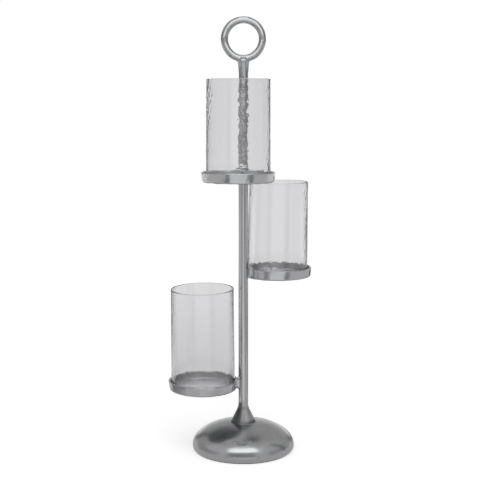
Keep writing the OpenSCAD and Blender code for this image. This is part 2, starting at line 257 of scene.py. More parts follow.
def lightRoom():
    world = bpy.data.worlds.new("studio")
    world.use_nodes = True
    scene.world = world
    tree = world.node_tree
    tree.nodes.clear()
    flat, away, height = layFlat(tree, addNode(tree, "TexCoord").outputs["Generated"])
    tilt = addNode(tree, "Math", {0: height}, operation="ARCSINE")
    rise = addNode(tree, "Math", {0: tilt.outputs[0]}, operation="DEGREES").outputs[0]
    mirrored = addCards(tree, studio["wall"], studio["cards"], flat, rise, studio["wallBlur"])
    throughGlass = addCards(tree, mirrored, studio["cardsThroughGlass"], flat, rise,
                            studio["wallBlur"])
    ray = addNode(tree, "LightPath")
    shown = addNode(tree, "Mix", {"Factor": ray.outputs["Is Transmission Ray"], "A": mirrored,
                                  "B": throughGlass}, data_type="FLOAT")
    seen = addNode(tree, "Mix", {"Factor": ray.outputs["Is Camera Ray"], "A": shown.outputs[0],
                                 "B": 1.0}, data_type="FLOAT")
    sky = addNode(tree, "Background", {"Color": seen.outputs[0]})
    addNode(tree, "OutputWorld", {"Surface": sky.outputs[0]})
    for name, (place, turn, width, height, level) in studio["lamps"].items():
        lamp = bpy.data.lights.new(name, "AREA")
        lamp.shape = "RECTANGLE"
        lamp.size, lamp.size_y = width, height
        lamp.energy = level * math.pi * width * height
        lampObject = linkObject(name, lamp)
        lampObject.location = place
        lampObject.rotation_euler = (math.radians(turn), 0, 0)
        lampObject.visible_camera = False


# Metres. The glow grows with the distance from the pole, as the lamps' light falls off
floor = {
    "halfSize": 9.0, "under": 0.0002, "paint": ("#EBEBEB", "#F1F1F1"), "rollerSpots": 0.06,
    "glowFrom": 0.4, "glowTo": 3.0, "nearGlow": 0.54, "farGlow": 0.67,
}


# A matt paint with faint roller texture: white to the camera, where it keeps the shadow, and
# toned by the studio's cards where metal or glass shows it
def layFloor():
    material, tree = startMaterial("matt white painted studio floor")
    roller = addNode(tree, "TexNoise", {"Scale": 2 * floor["halfSize"] / floor["rollerSpots"],
                                        "Detail": 3.0})
    tone = addNode(tree, "ValToRGB", {"Fac": roller.outputs["Fac"]})
    for stop, code in zip(tone.color_ramp.elements, floor["paint"]):
        stop.color = linearColour(code)
    paint = addNode(tree, "BsdfDiffuse", {"Color": tone.outputs[0]})
    ray = addNode(tree, "LightPath")
    flat, away, height = layFlat(tree, addNode(tree, "NewGeometry").outputs["Position"])
    glow = addNode(tree, "MapRange", {
        "Value": away, "From Min": floor["glowFrom"], "From Max": floor["glowTo"],
        "To Min": floor["nearGlow"], "To Max": floor["farGlow"]})
    glow = addNode(tree, "Math", {0: ray.outputs["Is Camera Ray"], 1: glow.outputs[0]},
                   operation="MULTIPLY")
    shine = addNode(tree, "Emission", {"Strength": glow.outputs[0]})
    straight = addNode(tree, "AddShader", {0: paint.outputs[0], 1: shine.outputs[0]})
    mirrored = addCards(tree, studio["floor"], studio["floorCards"], flat, away,
                        studio["floorBlur"])
    throughGlass = addCards(tree, mirrored, studio["floorCardsThroughGlass"], flat, away,
                            studio["floorBlurThroughGlass"])
    seen = addNode(tree, "Mix", {"Factor": ray.outputs["Is Transmission Ray"], "A": mirrored,
                                 "B": throughGlass}, data_type="FLOAT")
    image = addNode(tree, "Emission", {"Strength": seen.outputs[0]})
    other = addNode(tree, "Math", {0: ray.outputs["Is Glossy Ray"],
                                   1: ray.outputs["Is Transmission Ray"]}, operation="MAXIMUM")
    both = addNode(tree, "MixShader", {0: other.outputs[0], 1: straight.outputs[0],
                                       2: image.outputs[0]})
    addNode(tree, "OutputMaterial", {"Surface": both.outputs[0]})
    far = floor["halfSize"]
    mesh = bpy.data.meshes.new("floor")
    mesh.from_pydata([(-far, -far, 0), (far, -far, 0), (far, far, 0), (-far, far, 0)], [],
                     [(0, 1, 2, 3)])
    mesh.materials.append(material)
    ground = linkObject("floor", mesh)
    ground.location.z = -floor["under"]


lightRoom()
layFloor()
print("studio lit")


# Sand-cast aluminium, ground and polished by hand: a soft mirror, a little cloudy in patches,
# with fine wheel marks. Where the wheel doesn't reach it keeps the dull grey skin of the mould,
# whose dark grey on undersides and in the neck's crease is also painted shade
casting = {
    # widths in mm: the wheel marks and the grit are drawn coarser than real, so that they show
    "clouds": 26.3, "wheelMarks": 1.33, "grit": 1.11,
    "polished": ("#B7B8BA", "#C1C1C2"),
    # the skin is rough like the real cast skin, and its dark grey is also painted shade
    "skin": ("#747577", "#8B8C8E"), "skinRoughness": 0.50,
}
# Heights in mm, and how far the surface faces right. The dome's crown is polished less than its
# skirt. The crease at the neck's foot keeps the mould's dull skin, its darker grey there painted
# shade, and the neck's left side and both ends of the crease are darkened with a grey as painted
# shade
neckFinish = {
    "crown": (36, 60), "crownRoughness": 0.09, "foot": (66.4, 67.6), "crease": (76, 69),
    "left": (-0.12, -0.32), "flank": (0.30, 0.70), "paintedShadeTone": "#707173",
}


def castAluminium(name, tones, gloss, skin=0.0, neck=None):
    material, tree = startMaterial(name)
    place = addNode(tree, "TexCoord")
    spot = place.outputs["Object"]
    facing = addNode(tree, "SeparateXYZ", {0: place.outputs["Normal"]})
    clouds = addNode(tree, "TexNoise", {"Vector": spot, "Scale": noiseScale(casting["clouds"]),
                                        "Detail": 3.0, "Roughness": 0.55})
    colour = addNode(tree, "ValToRGB", {"Fac": clouds.outputs["Fac"]})
    for stop, position, code in zip(colour.color_ramp.elements, (0.3, 0.7), tones):
        stop.position, stop.color = position, linearColour(code)
    polish = addNode(tree, "MapRange", {"Value": clouds.outputs["Fac"], "From Min": 0.3,
                                        "From Max": 0.7, "To Min": gloss[0], "To Max": gloss[1]})
    # Undersides take the dull skin: rougher, and darker as painted shade
    dullAndShaded = addNode(tree, "MapRange", {"Value": facing.outputs["Z"], "From Min": -0.7,
                                      "From Max": -0.95, "To Max": skin})        # undersides
    if neck:
        height = addNode(tree, "SeparateXYZ", {0: spot})
        band = {}
        for part in ("crown", "foot", "crease"):
            band[part] = addNode(tree, "MapRange", {
                "Value": height.outputs["Z"], "From Min": neck[part][0] * mm,
                "From Max": neck[part][1] * mm})
        band["crown"].interpolation_type = band["foot"].interpolation_type = "SMOOTHSTEP"
        band["crown"].inputs["To Max"].default_value = neck["crownRoughness"]
        polish = addNode(tree, "Math", {0: polish.outputs[0], 1: band["crown"].outputs[0]})
        # The crease at the neck's foot takes the skin too, darker there as painted shade
        crease = addNode(tree, "Math", {0: band["foot"].outputs[0], 1: band["crease"].outputs[0]},
                         operation="MULTIPLY")
        dullAndShaded = addNode(tree, "Math", {0: dullAndShaded.outputs[0], 1: crease.outputs[0]},
                       operation="MAXIMUM")
    grit = addNode(tree, "TexNoise", {"Vector": spot, "Scale": noiseScale(casting["grit"]),
                                      "Detail": 3.0})
    skinAndShade = addNode(tree, "ValToRGB", {"Fac": grit.outputs["Fac"]})
    for stop, code in zip(skinAndShade.color_ramp.elements, casting["skin"]):
        stop.color = linearColour(code)
    tone = addNode(tree, "MixRGB", {"Fac": dullAndShaded.outputs[0], "Color1": colour.outputs[0],
                                    "Color2": skinAndShade.outputs[0]})
    rough = addNode(tree, "Mix", {"Factor": dullAndShaded.outputs[0], "A": polish.outputs[0],
                                  "B": casting["skinRoughness"]}, data_type="FLOAT")
    marks = addNode(tree, "TexNoise", {"Vector": spot, "Scale": noiseScale(casting["wheelMarks"]),
                                       "Detail": 4.0, "Roughness": 0.6})
    dents = addNode(tree, "Bump", {"Height": marks.outputs["Fac"], "Strength": 0.02,
                                   "Distance": 0.0002})
    # Painted shade: the neck's left side and both ends of the crease take a darker grey
    if neck:
        left = addNode(tree, "MapRange", {"Value": facing.outputs["X"], "From Min": neck["left"][0],
                                          "From Max": neck["left"][1]},
                       interpolation_type="SMOOTHSTEP")
        left = addNode(tree, "Math", {0: left.outputs[0], 1: band["foot"].outputs[0]},
                       operation="MULTIPLY")
        sideways = addNode(tree, "Math", {0: facing.outputs["X"]}, operation="ABSOLUTE")
        flank = addNode(tree, "MapRange", {"Value": sideways.outputs[0],
                                           "From Min": neck["flank"][0],
                                           "From Max": neck["flank"][1]},
                        interpolation_type="SMOOTHSTEP")
        corner = addNode(tree, "Math", {0: crease.outputs[0], 1: flank.outputs[0]},
                         operation="MULTIPLY")
        paintedShade = addNode(tree, "Math", {0: left.outputs[0], 1: corner.outputs[0]},
                        operation="MAXIMUM")
        tone = addNode(tree, "MixRGB", {"Fac": paintedShade.outputs[0], "Color1": tone.outputs[0],
                                        "Color2": linearColour(neck["paintedShadeTone"])})
    metal = addNode(tree, "BsdfPrincipled", {
        "Base Color": tone.outputs[0], "Metallic": 1.0, "Roughness": rough.outputs[0],
        "Normal": dents.outputs[0]})
    addNode(tree, "OutputMaterial", {"Surface": metal.outputs[0]})
    return material


# Drawn aluminium tube, polished along its length in fine lines. Its long bright and dark streaks
# are painted reflections, drawn as coarse as 3 mm apart so that they show. Its upper front, behind
# the top glass, has dark grey, slightly bumped spots: painted shade for the rippled glass's mottled
# shadow
tubeFinish = {
    "streaks": 3.03, "stretch": 0.012, "tones": ("#8E8F91", "#D2D2D3"), "gloss": (0.10, 0.18),
    "glassMottle": 4.35, "glassShadeTone": "#7F8082", "glassShadeFrom": (672, 700), "glassShadeFacing": (-0.15, -0.60),
}


def drawnTube(name):
    finish = tubeFinish
    material, tree = startMaterial(name)
    place = addNode(tree, "TexCoord")
    spot = place.outputs["Object"]
    drawn = addNode(tree, "Mapping", {"Vector": spot, "Scale": (1.0, 1.0, finish["stretch"])})
    streaks = addNode(tree, "TexNoise", {"Vector": drawn.outputs[0],
                                         "Scale": noiseScale(finish["streaks"]), "Detail": 4.0,
                                         "Roughness": 0.6})
    # The streaks' bright and dark tones are painted reflections
    colour = addNode(tree, "ValToRGB", {"Fac": streaks.outputs["Fac"]})
    for stop, position, code in zip(colour.color_ramp.elements, (0.34, 0.64), finish["tones"]):
        stop.position, stop.color = position, linearColour(code)
    gloss = addNode(tree, "MapRange", {"Value": streaks.outputs["Fac"], "From Min": 0.3,
                                       "From Max": 0.7, "To Min": finish["gloss"][0],
                                       "To Max": finish["gloss"][1]})
    lines = addNode(tree, "Bump", {"Height": streaks.outputs["Fac"], "Strength": 0.10,
                                   "Distance": 0.0002})
    # Painted shade: dark grey spots on the pole's front behind the top glass
    glassMottle = addNode(tree, "TexNoise", {"Vector": spot, "Scale": noiseScale(finish["glassMottle"]),
                                      "Detail": 2.0})
    glassShade = addNode(tree, "MapRange", {"Value": glassMottle.outputs["Fac"], "From Min": 0.42,
                                        "From Max": 0.60}, interpolation_type="SMOOTHSTEP")
    height = addNode(tree, "SeparateXYZ", {0: spot})
    facing = addNode(tree, "SeparateXYZ", {0: place.outputs["Normal"]})
    for value, (start, end) in (
            (height.outputs["Z"], (z * mm for z in finish["glassShadeFrom"])),
            (facing.outputs["Y"], finish["glassShadeFacing"])):
        part = addNode(tree, "MapRange", {"Value": value, "From Min": start, "From Max": end},
                       interpolation_type="SMOOTHSTEP")
        glassShade = addNode(tree, "Math", {0: glassShade.outputs[0], 1: part.outputs[0]},
                         operation="MULTIPLY")
    tone = addNode(tree, "MixRGB", {"Fac": glassShade.outputs[0], "Color1": colour.outputs[0],
                                    "Color2": linearColour(finish["glassShadeTone"])})
    dents = addNode(tree, "Bump", {"Height": glassShade.outputs[0], "Strength": 0.6,
                                   "Distance": 0.0004, "Normal": lines.outputs[0]})
    metal = addNode(tree, "BsdfPrincipled", {
        "Base Color": tone.outputs[0], "Metallic": 1.0, "Roughness": gloss.outputs[0],
        "Normal": dents.outputs[0]})
    addNode(tree, "OutputMaterial", {"Surface": metal.outputs[0]})
    return material


# Zinc-plated steel: a dull bluish sheen with the grain of the bright zinc, which is drawn as
# coarse as 2.4 mm so that it shows
def zincSteel(name):
    material, tree = startMaterial(name)
    spot = addNode(tree, "TexCoord").outputs["Object"]
    grain = addNode(tree, "TexNoise", {"Vector": spot, "Scale": noiseScale(2.38), "Detail": 4.0})
    colour = addNode(tree, "ValToRGB", {"Fac": grain.outputs["Fac"]})
    for stop, position, code in zip(colour.color_ramp.elements, (0.32, 0.68),
                                    ("#A4A9AD", "#BCC0C2")):
        stop.position, stop.color = position, linearColour(code)
    gloss = addNode(tree, "MapRange", {"Value": grain.outputs["Fac"], "From Min": 0.3,
                                       "From Max": 0.7, "To Min": 0.28, "To Max": 0.42})
    dents = addNode(tree, "Bump", {"Height": grain.outputs["Fac"], "Strength": 0.12,
                                   "Distance": 0.0002})
    metal = addNode(tree, "BsdfPrincipled", {
        "Base Color": colour.outputs[0], "Metallic": 1.0, "Roughness": gloss.outputs[0],
        "Normal": dents.outputs[0]})
    addNode(tree, "OutputMaterial", {"Surface": metal.outputs[0]})
    return material


# Pressed wool felt: matt and dark, with matted fibres about 1 mm long
def pressedFelt(name):
    material, tree = startMaterial(name)
    spot = addNode(tree, "TexCoord").outputs["Object"]
    fibres = addNode(tree, "TexNoise", {"Vector": spot, "Scale": noiseScale(1.11), "Detail": 6.0,
                                        "Roughness": 0.7, "Distortion": 1.5})
    colour = addNode(tree, "ValToRGB", {"Fac": fibres.outputs["Fac"]})
    for stop, position, code in zip(colour.color_ramp.elements, (0.3, 0.72),
                                    ("#262628", "#3B3B3E")):
        stop.position, stop.color = position, linearColour(code)
    nap = addNode(tree, "Bump", {"Height": fibres.outputs["Fac"], "Strength": 0.6,
                                 "Distance": 0.0004})
    cloth = addNode(tree, "BsdfPrincipled", {
        "Base Color": colour.outputs[0], "Roughness": 0.95, "Sheen Weight": 0.3,
        "Normal": nap.outputs[0]})
    addNode(tree, "OutputMaterial", {"Surface": cloth.outputs[0]})
    return material


# Hand-drawn soda-lime glass: clear, faintly cool. Its waves are in the mesh, and the material
# adds the fine cords, some 8 mm apart, that the tools leave in the skin
def drawnGlass(name):
    material, tree = startMaterial(name)
    spot = addNode(tree, "TexCoord").outputs["Object"]
    pulled = addNode(tree, "Mapping", {"Vector": spot, "Scale": (1.0, 1.0, 0.7)})
    cords = addNode(tree, "TexNoise", {"Vector": pulled.outputs[0], "Scale": noiseScale(8.33),
                                       "Detail": 1.0})
    skin = addNode(tree, "Bump", {"Height": cords.outputs["Fac"], "Strength": 0.45,
                                  "Distance": 0.0005})
    tint = addNode(tree, "ValToRGB", {"Fac": cords.outputs["Fac"]})
    for stop, code in zip(tint.color_ramp.elements, ("#FAFAFC", "#FDFDFE")):
        stop.color = linearColour(code)
    glass = addNode(tree, "BsdfPrincipled", {
        "Base Color": tint.outputs[0], "Roughness": 0.0, "IOR": 1.47, "Transmission Weight": 1.0,
        "Normal": skin.outputs[0]})
    addNode(tree, "OutputMaterial", {"Surface": glass.outputs[0]})
    return material


baseMetal = castAluminium("hand-polished sand-cast aluminium base", casting["polished"],
                          (0.20, 0.27), skin=1.0, neck=neckFinish)
trayMetal = castAluminium("hand-polished sand-cast aluminium dish", casting["polished"],
                          (0.12, 0.18), skin=1.0)
hollowMetal = castAluminium("scoured sand-cast aluminium hollow", ("#E4E5E6", "#EEEEEF"),
                            (0.28, 0.38))
ringMetal = castAluminium("hand-polished sand-cast aluminium handle", ("#A8A9AB", "#B4B5B6"),
                          (0.08, 0.13))
tubeMetal = drawnTube("lengthwise-polished drawn aluminium tube")
plainSteel = zincSteel("zinc-plated steel")
woolFelt = pressedFelt("pressed wool felt")
clearGlass = drawnGlass("hand-drawn rippled clear glass")

# The small fittings keep their solids, and only take a finish
fittings = {name: plainSteel for name in (
    "base_bolt", "base_spring_washer", "base_washer", "pole_foot_insert", "pole_top_insert",
    "finial_stud", "bottom_tray_screw", "middle_tray_screw", "top_tray_screw",
    "bottom_tray_nut", "middle_tray_nut", "top_tray_nut")}
fittings["foot_felt"] = woolFelt
for name, material in fittings.items():
    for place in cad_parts[name].material_slots:
        place.material = material
print("materials made, and the plain fittings finished with them")


# A hollow dome with a neck, which is a cone with a bend under the pole and a fillet on the dome,
# and with a boss and webs beneath. Sizes in mm
base = {
    "radius": 124.25, "footRadius": 120.05, "footEdge": 0.8, "edgeHeight": 11, "rise": 57,
    "neckTop": 115.03, "topEdge": 0.5, "poleRadius": 11.8, "bend": 36, "coneLean": 25.5,
    "coneTop": 105, "fillet": 6,
    "cavityRadius": 110.05, "wall": 6, "feltThickness": 1.5,
    "bossRadius": 19, "bossFace": 30, "bossEdge": 1.5, "boreRadius": 6.6,
    "bossBlend": (3, 4.5),        # how far it spreads into the roof, outwards and down
    "webs": 4, "webThickness": 5, "webReach": 58, "webSlope": 0.606, "webEdge": 2,
    "webInset": 1.5, "webSink": 2,
    "waves": [(46, 0.10, 3), (24, 0.02, 4)],        # spacing, depth, seed
    "plainFoot": 1, "footFade": 8, "poleFade": 20,        # where the waves grow in
    "segments": 224,
}


# Where the fillet leaves the dome, in degrees of its ellipse, its centre, and the dome's bearing
# from there: found by halving, until the fillet just touches the cone
def neckFillet(coneOut):
    low, high = 60.0, 89.0
    for i in range(40):
        leave = (low + high) / 2
        turn = math.radians(leave)
        out = np.array([base["rise"] * math.cos(turn), base["radius"] * math.sin(turn)])
        out /= np.linalg.norm(out)
        onDome = np.array([base["radius"] * math.cos(turn),
                           base["edgeHeight"] + base["rise"] * math.sin(turn)])
        centre = onDome + base["fillet"] * out
        if (centre - np.array([base["poleRadius"], base["coneTop"]])) @ coneOut > base["fillet"]:
            low = leave
        else:
            high = leave
    return leave, centre, 180 + math.degrees(math.atan2(out[1], out[0]))


def baseProfile():
    lean = math.radians(base["coneLean"])
    leave, centre, start = neckFillet(np.array([math.cos(lean), math.sin(lean)]))
    bendTop = base["coneTop"] + base["bend"] * math.tan(lean / 2)
    bend = arc((base["poleRadius"] + base["bend"], bendTop), base["bend"], base["bend"],
               180 + base["coneLean"], 180, 12)
    felt, foot, brink = base["feltThickness"], base["footEdge"], base["topEdge"]
    boss, face, corner = base["bossRadius"], base["bossFace"], base["bossEdge"]
    roof = base["rise"] - base["wall"]
    bossEnd = math.degrees(math.acos((boss + base["bossBlend"][0]) / base["cavityRadius"]))
    profile = [(base["cavityRadius"], felt)]
    profile += evenly(profile[-1], (base["footRadius"] - foot, felt), 4)
    profile += arc((base["footRadius"] - foot, felt + foot), foot, foot, -60, 0, 3)
    profile += arc((base["footRadius"], base["edgeHeight"]), base["radius"] - base["footRadius"],
                   base["edgeHeight"] - felt, -70, 0, 12)
    profile += arc((0, base["edgeHeight"]), base["radius"], base["rise"], 1.5, leave, 64)
    profile += arc(centre, base["fillet"], base["fillet"], start, 180 + base["coneLean"], 14)[1:]
    profile += evenly(profile[-1], bend[0], 1.6)
    profile += bend[1:]
    profile += arc((base["poleRadius"] - brink, base["neckTop"] - brink), brink, brink, 0, 90, 4)
    profile += [(base["boreRadius"], base["neckTop"]), (base["boreRadius"], face)]
    profile += evenly(profile[-1], (boss - corner, face), 4)
    profile += arc((boss - corner, face + corner), corner, corner, -60, 0, 3)
    profile += evenly(profile[-1], (boss, base["edgeHeight"] + roof - base["bossBlend"][1]), 5)
    profile += arc((0, base["edgeHeight"]), base["cavityRadius"], roof, bossEnd, 0, 40)
    profile += evenly(profile[-1], (base["cavityRadius"], felt), 4)[:-1]
    return profile


# One web as rings from the bore outwards, with a rounded lower edge and its top in the dome
def webRings(number):
    half, edge = base["webThickness"] / 2, base["webEdge"]
    turn = 2 * math.pi * (number + 0.5) / base["webs"]
    way = np.array([math.cos(turn), math.sin(turn), 0])
    side = np.array([-math.sin(turn), math.cos(turn), 0])
    rings = []
    for reach in np.linspace(base["boreRadius"] + base["webSink"], base["webReach"], 13):
        low = base["bossFace"] + base["webInset"]
        low += max(0, reach - base["bossRadius"]) * base["webSlope"]
        outward = reach / (base["radius"] - base["webSink"])
        high = base["edgeHeight"] + (base["rise"] - base["webSink"]) * math.sqrt(1 - outward ** 2)
        outline = [(half, high), (half, low + edge)]
        outline += arc((half - edge, low + edge), edge, edge, 0, -90, 4)[1:]
        outline += arc((edge - half, low + edge), edge, edge, -90, -180, 4) + [(-half, high)]
        rings.append([way * reach + side * x + np.array([0, 0, z]) for x, z in outline])
    return np.array(rings)


def makeBase():
    def relief(points):
        radius = np.hypot(points[..., 0], points[..., 1])
        above = points[..., 2] - base["feltThickness"] - base["plainFoot"]
        fade = np.clip(above / base["footFade"], 0, 1) \
            * np.clip((radius - base["poleRadius"]) / base["poleFade"], 0, 1)
        return fade * sum(handWaves(points, *wave) for wave in base["waves"])

    profile, segments = baseProfile(), base["segments"]
    points = turnProfile(profile, segments, relief).reshape(-1, 3)
    faces = ringFaces(len(profile), segments, True)
    for number in range(base["webs"]):
        rings = webRings(number)
        rows, columns = rings.shape[:2]
        first, last = len(points), len(points) + (rows - 1) * columns
        points = np.vstack([points, rings.reshape(-1, 3)])
        faces += ringFaces(rows, columns, False, first)
        faces.append(tuple(first + j for j in range(columns)))
        faces.append(tuple(last + j for j in reversed(range(columns))))
    buildPiece("domed_base", points, faces, baseMetal, "stand", "base")


makeBase()
print("base made")


# A tube whose polish runs along it, in soft flutes that wander a little from side to side
pole = {
    "radius": base["poleRadius"], "wall": 2, "foot": base["neckTop"], "length": 778, "edge": 0.3,
    "flutes": [(5, 0.06), (9, 0.05), (14, 0.04), (23, 0.02)],        # number round it, depth
    "wander": 0.5, "wanderLength": (90, 160), "seed": 21, "segments": 128,
}


def makePole():
    foot, top = pole["foot"], pole["foot"] + pole["length"]
    outer, inner, edge = pole["radius"], pole["radius"] - pole["wall"], pole["edge"]
    profile = [(outer - edge, foot), (outer, foot + edge)]
    profile += evenly(profile[-1], (outer, top - edge), 13)
    profile += [(outer - edge, top), (inner, top)]
    profile += evenly(profile[-1], (inner, foot), 60)

    def relief(points):
        turn = np.arctan2(points[..., 1], points[..., 0])
        outside = np.hypot(points[..., 0], points[..., 1]) > outer - edge / 2
        height = points[..., 2]
        draw = np.random.RandomState(pole["seed"])
        total = np.zeros(turn.shape)
        for number, depth in pole["flutes"]:
            shift = draw.uniform(0, 6.28)
            sway = pole["wander"] * np.sin(height / draw.uniform(*pole["wanderLength"]))
            total += depth * np.cos(number * turn + (shift + sway))
        return outside * total

    segments = pole["segments"]
    buildPiece("polished_pole", turnProfile(profile, segments, relief),
               ringFaces(len(profile), segments, True), tubeMetal, "stand", "pole")


makePole()
print("pole made")


# The carrying ring and its crowned stem, one casting. The two shapes are joined as distances,
# with a soft blend, and a remeshed draft is settled onto the result
finial = {
    "foot": pole["foot"] + pole["length"], "footRadius": pole["radius"],
    "waistRadius": 11.1, "waistHeight": 10,
    "stemRadius": 13.7, "stemLength": 42.5, "ringRadius": 44.5, "barRadius": 8.5,
    "crown": 10, "edge": 0.3, "fillet": 2, "blend": 3.0, "voxel": 0.9,
    "waves": [(22, 0.08, 8), (9, 0.022, 9)],        # spacing, depth, seed
    "fileMarks": [(7, 0.16), (11, 0.10)],        # number round the stem, depth
    "fileWander": 9, "plainFoot": 2, "footFade": 6, "crownFade": 4,
}


# Signed distance in mm from points (x, z) to a closed outline
def outlineDistance(x, z, outline):
    a = np.array(outline, float)
    b = np.roll(a, -1, 0)
    nearest = np.full(x.shape, 1e9)
    inside = np.zeros(x.shape, bool)
    for (ax, az), (bx, bz) in zip(a, b):
        ex, ez = bx - ax, bz - az
        t = np.clip(((x - ax) * ex + (z - az) * ez) / max(ex * ex + ez * ez, 1e-12), 0, 1)
        nearest = np.minimum(nearest, (x - ax - t * ex) ** 2 + (z - az - t * ez) ** 2)
        crosses = (az > z) != (bz > z)
        if ez:
            inside ^= crosses & (x < ax + (z - az) * ex / ez)
    return np.where(inside, -1, 1) * np.sqrt(nearest)


def softUnion(a, b, width):
    near = np.maximum(width - np.abs(a - b), 0) / width
    return np.minimum(a, b) - near * near * width / 4


def slopeOf(points, distance, step=0.05):        # the way in which a distance grows
    return np.stack([(distance(points + step * axis) - distance(points - step * axis))
                     / (2 * step) for axis in np.eye(3)], 1)


def settle(points, distance):        # moves points onto the surface where a distance is nought
    for i in range(4):
        slope = slopeOf(points, distance)
        size = np.maximum((slope ** 2).sum(1), 0.05)
        points = points - slope * (distance(points) / size)[:, None]
    return points


# Half of the stem's outline, from its foot to its crown, and the heights of ring and crown
def stemOutline():
    foot, edge, fillet = finial["foot"], finial["edge"], finial["fillet"]
    ringZ = foot + finial["stemLength"] + finial["ringRadius"] + finial["barRadius"]
    filletR = finial["stemRadius"] + fillet
    drop = math.sqrt((finial["ringRadius"] + finial["barRadius"] + fillet) ** 2 - filletR ** 2)
    filletZ = ringZ - drop
    end = 180 - math.degrees(math.atan2(drop, filletR))
    crownR = filletR + fillet * math.cos(math.radians(end))
    crownZ = filletZ + fillet * math.sin(math.radians(end))
    waistZ = foot + finial["waistHeight"]
    half = [(0, foot), (finial["footRadius"] - edge, foot), (finial["footRadius"], foot + edge)]
    half += [(finial["waistRadius"]
              + (finial["footRadius"] - finial["waistRadius"]) * (1 - t) ** 2,
              foot + finial["waistHeight"] * t) for t in np.linspace(0.1, 1, 8)]
    half += [(finial["waistRadius"] + (finial["stemRadius"] - finial["waistRadius"]) * t * t,
              waistZ + (filletZ - waistZ) * t) for t in np.linspace(0.1, 1, 10)]
    half += arc((filletR, filletZ), fillet, fillet, 176, end, 5)
    half += arc((0, crownZ), crownR, finial["crown"], 8, 90, 14)
    return half, ringZ, crownZ


# A rough stem and ring, remeshed as one skin: its points in mm and its faces
def draftFinial(half, ringZ):
    around, barSteps, ringSteps = 64, 48, 160
    stem = turnProfile(half, around).reshape(-1, 3)
    faces = ringFaces(len(half), around, False)
    bar = turnProfile([(finial["ringRadius"] + finial["barRadius"] * math.cos(t),
                        finial["barRadius"] * math.sin(t))
                       for t in np.arange(barSteps) * 2 * math.pi / barSteps], ringSteps)
    bar = np.stack([bar[..., 0], -bar[..., 2], bar[..., 1] + ringZ], -1)
    faces += ringFaces(barSteps, ringSteps, True, len(stem))
    mesh = bpy.data.meshes.new("rough finial")
    mesh.from_pydata((np.vstack([stem, bar.reshape(-1, 3)]) * mm).tolist(), [], faces)
    draft = linkObject("rough finial", mesh)
    remesh = draft.modifiers.new("one skin", "REMESH")
    remesh.mode = "VOXEL"
    remesh.voxel_size = finial["voxel"] * mm
    skin = bpy.data.meshes.new_from_object(
        draft.evaluated_get(bpy.context.evaluated_depsgraph_get()))
    bpy.data.objects.remove(draft)
    points = np.empty(len(skin.vertices) * 3)
    skin.vertices.foreach_get("co", points)
    return points.reshape(-1, 3) / mm, [tuple(face.vertices) for face in skin.polygons]


def makeFinial():
    half, ringZ, crownZ = stemOutline()
    outline = half + [(-x, z) for x, z in reversed(half) if x > 0]

    def whole(points):
        stem = outlineDistance(np.hypot(points[:, 0], points[:, 1]), points[:, 2], outline)
        away = np.hypot(points[:, 0], points[:, 2] - ringZ) - finial["ringRadius"]
        ring = np.hypot(away, points[:, 1]) - finial["barRadius"]
        return softUnion(stem, ring, finial["blend"])

    points, faces = draftFinial(half, ringZ)
    points = settle(points, whole)
    above = points[:, 2] - finial["foot"] - finial["plainFoot"]
    worked = np.clip(above / finial["footFade"], 0, 1)
    relief = worked * sum(handWaves(points, *wave) for wave in finial["waves"])
    turn = np.arctan2(points[:, 1], points[:, 0])
    onStem = np.clip((crownZ - points[:, 2]) / finial["crownFade"], 0, 1) * worked
    for number, depth in finial["fileMarks"]:
        sway = np.sin(points[:, 2] / finial["fileWander"] + number)
        relief += onStem * depth * np.cos(number * turn + sway)
    slope = slopeOf(points, whole)
    slope /= np.maximum(np.linalg.norm(slope, axis=1), 1e-6)[:, None]
    buildPiece("ring_finial", points + slope * relief[:, None], faces, ringMetal,
               "stand", "finial", sharp=60)


makeFinial()
print("finial made")


# Shallow dishes, each with a waisted lug whose saddle grips the pole, and a countersink in the
# dish's wall for the screw that holds it. Sizes in mm
tray = {
    "radius": 85, "height": 23.7, "lean": 2.2, "floor": 6.2, "wall": 4.6, "innerLean": 1.2,
    "edge": 4.5, "corner": 1, "lip": 2, "orbit": 99.5, "sharp": 50,
    "waveSpacing": 26, "waveDepth": 0.12, "dentSpacing": 13, "segments": 216,
    "hollowFrom": 0.6,        # share of the wall, from the outside, where the hollow's finish starts
}
lug = {
    "saddleRadius": pole["radius"] + 0.05,        # with its clearance
    "saddleAngle": 57, "waist": 21, "flare": 5, "saddleFlare": 0.8, "saddleFlareShare": 0.35,
    "rise": 12, "endRise": 8, "endRound": 4, "lift": 6, "drop": 2.5, "squareness": 3.4,
    # the fillet on the dish's wall: its size beside the lug, its share below the lug, how far
    # past the wall's face it is full, and its length
    "fillet": 2.0, "filletBelow": 0.8, "filletPast": 1.6, "filletLength": 2.5,
    "intoWall": 0.9, "around": 72, "stations": 26,
    "ringGap": 0.0006,        # keeps rings that lie on the pole apart
    "waveSpacing": 20, "waveDepth": 0.05, "waveShare": (0, 0.6, 0.6),
}
countersink = {
    "down": 9.5, "headRadius": 6.05, "shankRadius": 3.3, "depth": 2.75, "sink": 0.4,
    "before": 2, "past": 14, "segments": 40,        # how far the cutter goes on at its two ends
}
trays = {        # height of the rim, bearing from +X, seed of its waves and depth of its dents
    "bottom": {"rim": 168.43, "bearing": 171, "seed": 31, "dents": 0.02},
    "middle": {"rim": 442.5, "bearing": 33.5, "seed": 32, "dents": 0.04},
    "top": {"rim": 684, "bearing": 263, "seed": 33, "dents": 0.085},
}
trayDepth = tray["height"] - tray["floor"]


